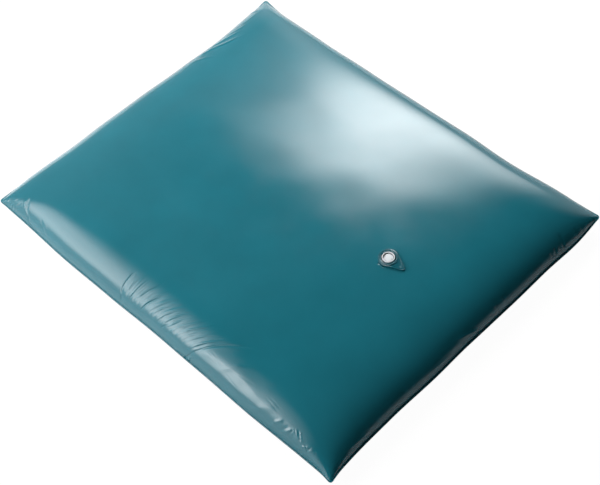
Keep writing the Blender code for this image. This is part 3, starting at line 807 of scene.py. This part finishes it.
# Valve collar: one moulding of thicker vinyl, welded over the hole in the upper skin. Its
# foot is a drop with the tip towards the foot end, it slopes up in rings to a round mouth,
# and its cup hangs below the skin round the neck.
collar_foot = height + skin_gap
collar_crest = height + 0.0080
cap_outer = 0.0242
well_radius = 0.0277
cup_outer = 0.0293
neck_outer = 0.0218
neck_gap = 0.0004
well_floor = 0.1541
cup_bottom = 0.1511
collar_radius = 0.040
tip_reach = 0.079
tip_radius = 0.009
mouth_radius = (cup_outer + collar_radius) / 2


def rounded(points, radii, flat=lambda point: point, steps=4):
    """A closed outline of points with its corners rounded to about these radii."""
    made = []
    points = [np.array(point, float) for point in points]
    befores = points[-1:] + points[:-1]
    afters = points[1:] + points[:1]
    for before, point, after, radius in zip(befores, points, afters, radii):
        if not radius:
            made.append(point)
            continue
        ends = []
        for other in (before, after):
            reach = np.linalg.norm(flat(other) - flat(point))
            ends.append(point + (other - point) * min(radius / reach, 0.48))
        for share in np.linspace(0, 1, steps + 1):
            made.append((1 - share) ** 2 * ends[0] + 2 * share * (1 - share) * point + share**2 * ends[1])
    return made


def drop_reach(angles):
    """How far the drop-shaped foot reaches from the valve's axis at these angles."""
    spacing = tip_reach - tip_radius
    touch = math.acos((collar_radius - tip_radius) / spacing)
    angle = np.abs((angles + math.pi) % (2 * math.pi) - math.pi)
    slant = collar_radius / np.maximum(np.cos(angle - touch), 1e-3)
    end = spacing * np.cos(angle) + np.sqrt(np.maximum(tip_radius**2 - (spacing * np.sin(angle)) ** 2, 0.0))
    tip_touch = math.atan2(tip_radius * math.sin(touch), spacing + tip_radius * math.cos(touch))
    return np.where(angle > touch, collar_radius, np.where(angle > tip_touch, slant, end))


# Each corner: share of the way in from the drop to a circle, the circle's radius, how far
# it stands in from there, its height, and how far it is rounded
collar_corners = (
    (1.0, cup_outer, 0.0, collar_foot, 0.0),
    (0.0, 0.0, 0.0012, collar_foot, 0.0004),
    (0.0, 0.0, 0.0, collar_foot + 0.0018, 0.0006),
    (0.0, 0.0, 0.0, collar_foot + 0.0036, 0.0008),
    (0.0, 0.0, 0.0012, collar_foot + 0.0052, 0.0008),
    (0.30, mouth_radius, 0.0, collar_foot + 0.0054, 0.0006),
    (0.62, mouth_radius, 0.0, collar_foot + 0.0060, 0.0004),
    (1.0, mouth_radius, 0.0, collar_foot + 0.0066, 0.0004),
    (1.0, mouth_radius - 0.0008, 0.0, collar_crest, 0.0007),
    (1.0, (mouth_radius + cup_outer) / 2, 0.0, collar_crest - 0.0014, 0.0008),
    (1.0, cup_outer, 0.0, collar_crest - 0.0014, 0.0006),
    (1.0, well_radius, 0.0, collar_crest, 0.0009),
    (1.0, well_radius, 0.0, well_floor, 0.0008),
    (1.0, neck_outer + neck_gap, 0.0, well_floor, 0.0004),
    (1.0, neck_outer + neck_gap, 0.0, cup_bottom, 0.0004),
    (1.0, cup_outer, 0.0, cup_bottom, 0.0010),
)


def valve_ring(reach, rise, angles):
    """Points round the valve's axis."""
    x = valve_axis.x + reach * np.cos(angles)
    y = valve_axis.y + reach * np.sin(angles)
    return np.stack((x, y, rise), axis=-1)


def about(angles, middle, wide):
    """A bump round the valve's axis, 1 at an angle in degrees and fading over a width."""
    off = (angles - math.radians(middle) + math.pi) % (2 * math.pi) - math.pi
    return np.exp(-((off / math.radians(wide)) ** 2))


def collar_flat(point):
    """A corner's place in the section through the collar's round side."""
    return np.array((collar_radius + (point[1] - collar_radius) * point[0] - point[2], point[3]))


collar_steps = 240
# How much closer together the points are at the tip, where the outline turns fast
tip_crowding = 0.55
angles = np.linspace(0, 2 * math.pi, collar_steps, endpoint=False)
angles = angles + tip_crowding * np.sin(angles + math.pi)
foot_reach = drop_reach(angles)
# Short radial ribs in the groove round the mouth
rib_count = 36
rib_height = 0.0009
rib_spread = 0.0016
ribs = np.clip(np.cos(angles * rib_count), 0.0, 1.0)
# The foot's near edge curls up off the skin and its slope sinks there, less so at the mouth;
# its far side is raised a little instead
curled = about(angles, 325, 48)
raised = about(angles, 127, 60)
edge_curl = 0.0008
slope_sink = 0.0030
mouth_sink = 0.0016
far_raise = 0.0009
# The heights between which the rings of the slope lie
slope_low = collar_foot + 0.0044
slope_high = collar_foot + 0.0070
rings = []
places = [corner[:4] for corner in collar_corners]
for share, radius, inset, rise in rounded(places, [corner[4] for corner in collar_corners], collar_flat):
    reach = foot_reach + (radius - foot_reach) * share - inset
    from_groove = reach.min() - (mouth_radius + cup_outer) / 2
    lift = ribs * 0.0
    if share == 1.0 and rise > height:
        lift = ribs * rib_height * math.exp(-((from_groove / rib_spread) ** 2))
    if slope_low < rise < slope_high and radius in (0.0, mouth_radius):
        inner = min(share / 0.3, 1.0)
        sink = mouth_sink if share == 1.0 else slope_sink
        lift = curled * (edge_curl - sink * inner) + raised * far_raise * inner
    rings.append(valve_ring(reach, rise + lift, angles))
collar = ring_piece("filling_collar", rings)
# Moulded vinyl: the same PVC, thicker and pressed in a mould instead of rolled. It is darker
# than the sheet, and its gloss is a little duller.
moulded_vinyl = calendered_vinyl("moulded_teal_vinyl", "#12535F", "#17606D", 0.16)
fix(collar, "bladder", "collar_vinyl", moulded_vinyl, "valve_collar")


# Neck: a stiff tube that slides up out of the collar to take a hose. It is moulded in
# white polypropylene, with a screw thread outside its mouth and a stop flange at its foot.
neck_bore = 0.0183
neck_top = 0.1656
neck_bottom = 0.1233
flange_top = 0.1258
flange_radius = neck_outer + 0.0050
thread_height = 0.0007
thread_pitch = 0.0025
thread_count = 3
skirt_bottom = 0.1556


# Polypropylene: moulded, white with a cool cast. It has a satin skin with a fine spark
# texture, slightly duller patches where it is handled, and faint flow clouding.
def moulded_plastic(name, deep, pale, roughness):
    made, tree, places = new_material(name)
    cloud = add_node(tree, "TexNoise", {"Vector": places, "Scale": 60.0, "Detail": 3.0})
    worn = add_node(tree, "TexNoise", {"Vector": places, "Scale": 180.0, "Detail": 4.0})
    levels = {"From Min": 0.35, "From Max": 0.65, "To Min": roughness - 0.06, "To Max": roughness + 0.08}
    rough = add_node(tree, "MapRange", {"Value": worn, **levels})
    # Spark texture of the mould, 0.4 mm grit
    grit = add_node(tree, "TexNoise", {"Vector": places, "Scale": 2500.0, "Detail": 2.0})
    depth = {"Subsurface_Weight": 0.08, "Subsurface_Radius": (0.002, 0.002, 0.002)}
    dress(tree, cloud, deep, pale, grit, 0.4, 0.00004, Roughness=rough, IOR=1.49, **depth)
    return made


white_plastic = moulded_plastic("moulded_white_polypropylene", "#D9DEE2", "#E4E8EB", 0.34)


def turned(name, corners, steps=144, shape=None):
    """A round piece of the valve from corners of (radius, height, rounding). Shape may change
    the radius of a ring's points by their height and angle."""
    outline_points = rounded([corner[:2] for corner in corners], [corner[2] for corner in corners])
    angles = np.linspace(0, 2 * math.pi, steps, endpoint=False)
    rings = []
    for radius, rise in outline_points:
        reach = np.full(steps, radius) if shape is None else shape(radius, rise, angles)
        rings.append(valve_ring(reach, reach * 0 + rise, angles))
    return ring_piece(name, rings)


root = neck_outer - thread_height
corners = [(neck_bore, neck_top, 0.0006), (root, neck_top, 0.0006)]
for turn in range(1, thread_count + 1):
    crest = neck_top - turn * thread_pitch
    for reach, rise in ((root, 1.5), (neck_outer, 0.5), (neck_outer, -0.5), (root, -1.5)):
        corners.append((reach, crest + rise * thread_height, 0.00025))
corners += [
    (root, skirt_bottom, 0.0003),
    (neck_outer, skirt_bottom - thread_height, 0.0003),
    (neck_outer, flange_top, 0.0004),
    (flange_radius, flange_top, 0.0006),
    (flange_radius, neck_bottom, 0.0006),
    (neck_bore, neck_bottom, 0.0006),
]
neck = turned("filling_neck", corners)
fix(neck, "neck", "white_plastic", white_plastic, "valve_neck")


# Plug: a push-in cup that seals the neck under the cap, with a bar across it to pull it
# out by. It is moulded in one with its bar, in the same white plastic.
plug_top = 0.1677
plug_seat = 0.1659
plug_head_radius = neck_outer - thread_height
plug_outer = 0.0179
plug_wall = 0.0030
plug_foot = neck_top - 0.014
plug_inside = plug_outer - plug_wall
plug = turned(
    "neck_plug",
    [
        (plug_inside, plug_top, 0.0005),
        (plug_head_radius, plug_top, 0.0006),
        (plug_head_radius, plug_seat, 0.0003),
        (plug_outer, plug_seat, 0.0002),
        (plug_outer, plug_foot + plug_wall, 0.0010),
        (plug_outer - plug_wall / 2, plug_foot, 0.0006),
        (0.0, plug_foot, 0.0),
        (0.0, plug_foot + plug_wall, 0.0),
        (plug_inside, plug_foot + plug_wall, 0.0012),
    ],
)
fix(plug, "plug", "white_plastic", white_plastic, "valve_plug")

bar_half = plug_inside + plug_wall / 2
bar_low = plug_top - 0.0080
bar_high = plug_top - 0.0040
bar_wide = 0.0025
bar_corners = [(-bar_wide, bar_low), (bar_wide, bar_low), (bar_wide, bar_high), (-bar_wide, bar_high)]
bar_section = rounded(bar_corners, [0.0009] * 4)
# The bar is waisted in the middle, for a fingertip on each side
waist_share = 0.25
waist_reach = 0.006
rings = []
for along in np.linspace(-bar_half, bar_half, 13):
    waist = 1 - waist_share * math.exp(-((along / waist_reach) ** 2))
    rings.append([(valve_axis.x + x * waist, valve_axis.y + along, z) for x, z in bar_section])
bar = ring_piece("plug_pull_bar", rings, closed=False)
fix(bar, "plug", "white_plastic", white_plastic)


# Cap washer: a flat ring cut from black sheet rubber, held inside the cap, which presses it
# on the plug's head so that the valve keeps tight.
washer_top = 0.1695
washer_under = 0.1680
washer_width = 0.0030


# Seal rubber: EPDM cut from calendered sheet. It is near black and dull, with a fine bloom
# and a slightly rough cut edge.
def sheet_rubber(name, deep, pale):
    made, tree, places = new_material(name)
    bloom = add_node(tree, "TexNoise", {"Vector": places, "Scale": 350.0, "Detail": 5.0})
    rough = add_node(tree, "MapRange", {"Value": bloom, "To Min": 0.5, "To Max": 0.72})
    dress(tree, bloom, deep, pale, bloom, 0.5, 0.00005, Roughness=rough, IOR=1.52)
    return made


rubber = sheet_rubber("cut_epdm_rubber", "#2F2F31", "#3C3C40")
washer = turned(
    "seal_washer",
    [
        (plug_head_radius, washer_top, 0.0003),
        (plug_head_radius, washer_under, 0.0003),
        (plug_head_radius - washer_width, washer_under, 0.0003),
        (plug_head_radius - washer_width, washer_top, 0.0003),
    ],
)
fix(washer, "cap_seal", "seal_rubber", rubber, "cap_washer")


# Cap: a round screw cap in the same white plastic, sunk in the middle inside a thick rim,
# with a deep groove round its middle, grip grooves round its skirt and two key holes.
cap_top = 0.1795
recess_floor = 0.1720
plate_under = 0.1698
cap_inside = cap_outer - 0.0022
recess_radius = cap_outer - 0.0040
cap_middle = 0.1752
middle_radius = recess_radius - 0.0030
key_reach = 0.0138
key_radius = 0.0020
key_angle = math.radians(14)
grip_count = 24
groove_depth = 0.0005
# How far below the top the grooves are nothing, and over what height they deepen from there
groove_start = 0.0014
groove_fade = 0.001


def gripped(radius, rise, angles):
    """Grooves the outer skirt below its rounded top edge."""
    reach = np.full(len(angles), radius)
    if radius < cap_outer - 0.0001:
        return reach
    groove = groove_depth * np.clip(np.cos(angles * grip_count), 0.0, 1.0) ** 2
    return reach - groove * np.clip((cap_top - groove_start - rise) / groove_fade, 0, 1)


cap = turned(
    "screw_cap",
    [
        (recess_radius, cap_top, 0.0016),
        (cap_outer, cap_top, 0.0013),
        (cap_outer, cap_top - 0.0022, 0.0),
        (cap_outer, cap_top - 0.0030, 0.0),
        (cap_outer, skirt_bottom, 0.0),
        (cap_inside, skirt_bottom, 0.0003),
        (cap_inside, plate_under, 0.0005),
        (0.0, plate_under, 0.0),
        (0.0, cap_middle, 0.0),
        (middle_radius, cap_middle, 0.0006),
        (middle_radius, recess_floor, 0.0005),
        (recess_radius, recess_floor, 0.0005),
    ],
    steps=288,
    shape=gripped,
)


def carve(piece, radius, low, high, place):
    """Cuts an upright round hole out of a piece that has no material yet."""
    cutter = mesh_piece("cutter", [], [])
    bm = bmesh.new()
    wide = {"radius1": radius, "radius2": radius, "depth": high - low}
    bmesh.ops.create_cone(bm, cap_ends=True, segments=96, **wide)
    bmesh.ops.translate(bm, verts=bm.verts, vec=(place.x, place.y, (low + high) / 2))
    bm.to_mesh(cutter.data)
    bm.free()
    cut = piece.modifiers.new("pocket", "BOOLEAN")
    cut.object = cutter
    cut.solver = "EXACT"
    evaluated = piece.evaluated_get(bpy.context.evaluated_depsgraph_get())
    carved = bpy.data.meshes.new_from_object(evaluated)
    carved.materials.clear()
    piece.modifiers.clear()
    piece.data = carved
    bpy.data.objects.remove(cutter)


for sign in (1, -1):
    hole = valve_axis + Vector((math.cos(key_angle), math.sin(key_angle), 0.0)) * key_reach * sign
    carve(cap, key_radius, plate_under - 0.0005, cap_top, hole)
fix(cap, "cap", "white_plastic", white_plastic, "valve_cap")

# A thin ring of the black rubber in the groove under the rim is painted shade: it darkens the groove where
# its far wall lies in shadow
shade_ring_radius = recess_radius - 0.0001
shade_ring_width = 0.0012
groove_shade_ring = turned(
    "cap_painted_shade_ring",
    [
        (shade_ring_radius, cap_top - 0.0024, 0.0002),
        (shade_ring_radius, recess_floor + 0.0006, 0.0002),
        (shade_ring_radius - shade_ring_width, recess_floor + 0.0002, 0.0002),
        (shade_ring_radius - shade_ring_width, cap_top - 0.0024, 0.0004),
    ],
)
fix(groove_shade_ring, "cap", "seal_rubber", rubber)


# Water: the clear body of water between the skins, a little inside them, with a pocket for
# the valve's cup and neck. The fleece lies in it.
water_inset = 0.003
pocket_radius = 0.0308
pocket_floor = neck_bottom - 0.0015
water_steps = (0.008, 0.03, 0.03, 0.008)
# Without the lines of the weld, four on each side
water_x = skin_lines(half_length, crown_section, (-0.9, -0.7, 0.7, 0.9), water_steps)[:, 4:-4]
water_y = skin_lines(half_width, crown_section, (-0.8, -0.55, 0.55, 0.8), water_steps)[:, 4:-4]
crown_points, crown_normals = skin_points(water_x, water_y, True, 0.0)
crown_points = crown_points - crown_normals * (skin_wall + water_inset)
# Out in the thin corners the two faces are kept on their own sides of the weld
crown_points[..., 2] = np.maximum(crown_points[..., 2], seam_height + skin_gap / 3)
bed_x = skin_lines(half_length, floor_section, (-0.9, 0.9), (0.01, 0.01))[:, 4:-4]
bed_y = skin_lines(half_width, floor_section, (-0.9, 0.9), (0.01, 0.01))[:, 4:-4]
# The same number of lines as above, so that the two grids can be walled together
bed_x = np.array([np.interp(water_x[2] / water_x[2][-1], bed_x[2] / bed_x[2][-1], row) for row in bed_x])
bed_y = np.array([np.interp(water_y[2] / water_y[2][-1], bed_y[2] / bed_y[2][-1], row) for row in bed_y])
bed_points, bed_normals = skin_points(bed_x, bed_y, False, 0.0)
bed_points = bed_points - bed_normals * (skin_wall + skin_gap)
bed_points[..., 2] = np.minimum(bed_points[..., 2], seam_height - skin_gap / 3)
water = closed_grid("water_body", crown_points, bed_points, 60)
carve(water, pocket_radius, pocket_floor, height + 0.02, valve_axis)
# Tap water: clear and filled straight from the tap. It shows what lies in it, with the
# faintest blue and slow ripples where it meets the sheet.
made, tree, places = new_material("clear_tap_water")
swirl = add_node(tree, "TexNoise", {"Vector": places, "Scale": 3.0, "Detail": 2.0})
clear = {"Roughness": 0.02, "IOR": 1.333, "Transmission_Weight": 1.0}
dress(tree, swirl, "#C4DDE3", "#D6E9ED", swirl, 0.1, 0.002, **clear)
fix(water, "bladder", "clear_water", made, "water_fill", fill=1.0)


# Studio: a white floor out to a white horizon, a large softbox beyond the far side, a second
# behind the camera's left, and dim walls, so that the gloss shows the lamps and little else.
floor_half = 30.0
floor_corners = [(sign_x * floor_half, sign_y * floor_half, 0.0) for sign_x, sign_y in corner_signs]
floor = mesh_piece("floor", floor_corners, [(0, 1, 2, 3)])
made, tree, places = new_material("white_studio_floor")
paths = add_node(tree, "LightPath").outputs
paint = add_node(tree, "BsdfDiffuse", {"Color": (0.8, 0.8, 0.8, 1.0)})
# In the bladder's gloss the floor is lit paint with its shadows, plus a painted glow that makes it brighter
# on the left: an emission seen only in reflections, standing in for light falling there
aside = add_node(tree, "VectorMath", {0: places, 1: (0.4, 1.0, 0.0)}, operation="DOT_PRODUCT")
painted_left_glow = add_node(tree, "MapRange", {"Value": aside, "From Min": -0.35, "From Max": -0.95, "To Max": 0.8})
painted_left_glow = add_node(tree, "Math", {0: paths["Is Glossy Ray"], 1: painted_left_glow}, operation="MULTIPLY")
mirrored = add_node(tree, "AddShader", {0: paint, 1: add_node(tree, "Emission", {"Strength": painted_left_glow})})
# The camera sees it nearly white of its own, with a faint share of paint for the shadow
faint = add_node(tree, "BsdfDiffuse", {"Color": (0.05, 0.05, 0.05, 1.0)})
seen = add_node(tree, "AddShader", {0: faint, 1: add_node(tree, "Emission", {"Strength": 0.972})})
straight = {0: paths["Is Camera Ray"], 1: paths["Is Transmission Ray"]}
straight = add_node(tree, "Math", straight, operation="MAXIMUM")
mixed = add_node(tree, "MixShader", {0: straight, 1: mirrored, 2: seen})
add_node(tree, "OutputMaterial", {"Surface": mixed})
floor.data.materials.append(made)

world = bpy.data.worlds.new("studio")
bpy.context.scene.world = world
world.use_nodes = True
tree = world.node_tree
tree.nodes.clear()
way = add_node(tree, "TexCoord").outputs["Generated"]
parts = add_node(tree, "SeparateXYZ", {"Vector": way}).outputs
paths = add_node(tree, "LightPath").outputs
# Towards the foot end the bright horizon is lower and dimmer, and the room's faint light less
slopes = []
for low, high, head, foot in ((0.0, 0.5, 0.26, 0.11), (0.0, 0.5, 0.8, 0.27), (-0.2, 0.7, 0.13, 0.02)):
    limits = {"Value": parts["X"], "From Min": low, "From Max": high, "To Min": head, "To Max": foot}
    slopes.append(add_node(tree, "MapRange", limits))
reach, pale, ambient = slopes
room = add_node(tree, "MapRange", {"Value": parts["Z"], "From Max": reach, "To Min": pale, "To Max": 0.0})
# The lit wall behind the camera's left, one beyond the far side, and a dim one at the head:
# the way each lies, the shares of that way where it begins and is full, and its level
for facing, low, high, level in (
    ((-0.6, -0.8, 0.0), 0.62, 0.90, 2.2),
    ((-0.35, 0.93, 0.0), 0.66, 0.90, 1.15),
    ((-1.0, 0.0, 0.0), 0.42, 0.72, 0.6),
):
    share = add_node(tree, "VectorMath", {0: way, 1: facing}, operation="DOT_PRODUCT")
    limits = {"Value": share, "From Min": low, "From Max": high, "To Max": level}
    wall = add_node(tree, "MapRange", limits, interpolation_type="SMOOTHSTEP")
    room = add_node(tree, "Math", {0: room, 1: wall}, operation="MAXIMUM")
mirrored = add_node(tree, "Mix", {0: paths["Is Glossy Ray"], 2: ambient, 3: room}, data_type="FLOAT")
level = add_node(tree, "Mix", {0: paths["Is Camera Ray"], 2: mirrored, 3: 1.0}, data_type="FLOAT")
add_node(tree, "OutputWorld", {"Surface": add_node(tree, "Background", {"Strength": level})})


# Where the middle of a lamp's glow lies across it
glow_middle = 0.43
# A lamp without a pattern, a taper or a top of its own
plain = {"across": ((0.0, 1.0),), "along": ((0.0, 1.0),), "ends": (1.0, 1.0), "top": (0.0, 0.0, 0.0)}


def softbox(name, place, aim, up, size, radiance, mirrored=True, **pattern):
    """A soft lamp of this radiance, where 1 is the white of the floor. Its tall side runs
    along up, as near as it can. Across and along are stops of (share of the way, level); what
    is across is as wide at the lower and the upper end as the ends say. In its top fifth it
    also widens and drifts sideways by the first two shares in top, and its low side is
    narrower by the third, which draws the middle of its glow back a little."""
    across, along, ends, top = {**plain, **pattern}.values()
    lamp = bpy.data.lights.new(name, "AREA")
    lamp.shape = "RECTANGLE"
    lamp.size, lamp.size_y = size
    lamp.energy = radiance * size[0] * size[1] * math.pi
    lamp.use_nodes = True
    tree = lamp.node_tree
    tree.nodes.clear()
    spot = add_node(tree, "NewGeometry").outputs["Parametric"]
    spot = add_node(tree, "SeparateXYZ", {"Vector": spot}).outputs
    taper = add_node(tree, "MapRange", {"Value": spot["Y"], "To Min": ends[0], "To Max": ends[1]})
    crest = add_node(tree, "MapRange", {"Value": spot["Y"], "From Min": 0.8})
    crest = add_node(tree, "Math", {0: crest, 1: 2.0}, operation="POWER")
    spread = add_node(tree, "Math", {0: crest, 1: top[0], 2: taper}, operation="MULTIPLY_ADD")
    narrow = {"Value": spot["Y"], "From Min": 0.78, "From Max": 0.86, "To Max": top[2]}
    pinch = add_node(tree, "MapRange", narrow, interpolation_type="SMOOTHSTEP")
    middle = add_node(tree, "Math", {0: pinch, 1: -0.1, 2: glow_middle}, operation="MULTIPLY_ADD")
    middle = add_node(tree, "Math", {0: crest, 1: top[1], 2: middle}, operation="MULTIPLY_ADD")
    aside = add_node(tree, "Math", {0: spot["X"], 1: middle}, operation="SUBTRACT")
    aside = add_node(tree, "Math", {0: aside, 1: spread}, operation="DIVIDE")
    tight = add_node(tree, "Math", {0: aside, 1: pinch, 2: aside}, operation="MULTIPLY_ADD")
    aside = add_node(tree, "Math", {0: aside, 1: tight}, operation="MINIMUM")
    aside = add_node(tree, "Math", {0: aside, 1: glow_middle}, operation="ADD")
    levels = []
    for way, stops in ((aside, across), (spot["Y"], along)):
        ramp = add_node(tree, "ValToRGB", {"Fac": way})
        ramp.color_ramp.interpolation = "B_SPLINE"
        elements = ramp.color_ramp.elements
        elements.remove(elements[1])
        for number, (share, level) in enumerate(stops):
            element = elements[0] if number == 0 else elements.new(share)
            element.position = share
            element.color = (level, level, level, 1.0)
        levels.append(ramp)
    level = add_node(tree, "Math", {0: levels[0], 1: levels[1]}, operation="MULTIPLY")
    add_node(tree, "OutputLight", {"Surface": add_node(tree, "Emission", {"Strength": level})})
    made = link(bpy.data.objects.new(name, lamp))
    back = (Vector(place) - Vector(aim)).normalized()
    right = Vector(up).cross(back).normalized()
    facing = Matrix((right, back.cross(right), back)).transposed()
    made.matrix_world = Matrix.Translation(place) @ facing.to_4x4()
    made.visible_glossy = mirrored


# The key fades on both sides and downwards, with a faint glow left over far on its right
softbox(
    "key_softbox",
    place=(-1.616, 2.910, 1.942),
    aim=(-0.362, 0.879, 0.127),
    up=(-0.172, -0.713, 0.679),
    size=(2.9, 3.6),
    radiance=14.5,
    across=(
        (0.0, 0.0), (0.09, 0.08), (0.155, 0.23), (0.224, 0.50), (0.293, 0.78), (0.355, 1.0), (0.44, 1.02),
        (0.50, 0.80), (0.569, 0.42), (0.638, 0.14), (0.707, 0.09), (0.81, 0.05), (1.0, 0.0),
    ),
    along=(
        (0.0, 0.0), (0.03, 0.10), (0.056, 0.17), (0.167, 0.30), (0.278, 0.50), (0.389, 0.70), (0.50, 0.87),
        (0.61, 0.97), (0.72, 1.0), (0.805, 0.99), (0.847, 0.90), (0.889, 0.73), (0.944, 0.38),
        (0.972, 0.2), (1.0, 0.0),
    ),
    ends=(1.25, 0.82),
    top=(0.22, 0.17, 0.3),
)
# The shoulder's lamp fades slowly upwards and to the right
softbox(
    "shoulder_softbox",
    place=(-2.70, -3.98, 4.426),
    aim=(0.30, -0.39, 0.686),
    up=(0.0, 0.0, 1.0),
    size=(5.8, 6.0),
    radiance=5.2,
    across=(
        (0.0, 0.0), (0.10, 0.8), (0.22, 1.05), (0.48, 1.0), (0.58, 0.92), (0.67, 0.70), (0.77, 0.44),
        (0.87, 0.26), (0.94, 0.13), (1.0, 0.0),
    ),
    along=(
        (0.0, 0.0), (0.12, 0.7), (0.21, 1.0), (0.53, 1.0), (0.62, 0.74), (0.71, 0.46), (0.81, 0.27),
        (0.91, 0.13), (1.0, 0.0),
    ),
)
soft_edges = ((0.0, 0.0), (0.16, 0.7), (0.28, 1.0), (0.72, 1.0), (0.84, 0.7), (1.0, 0.0))
softbox(
    "side_softbox",
    place=(-1.3, -3.9, 2.0),
    aim=(0.4, -0.7, 0.1),
    up=(0.0, 0.0, 1.0),
    size=(1.5, 2.2),
    radiance=3.5,
    across=soft_edges,
    along=soft_edges,
)
# Two fills that light the vinyl and are not mirrored in it
softbox("left_fill", (-1.6, 0.3, 2.2), (-0.3, 0.1, 0.1), (1.0, 0.0, 0.0), (1.6, 1.6), 3.0, False)
softbox("side_fill", (-2.1, -3.3, 1.3), (-0.3, -0.7, 0.1), (0.0, 0.0, 1.0), (2.4, 1.8), 4.6, False)
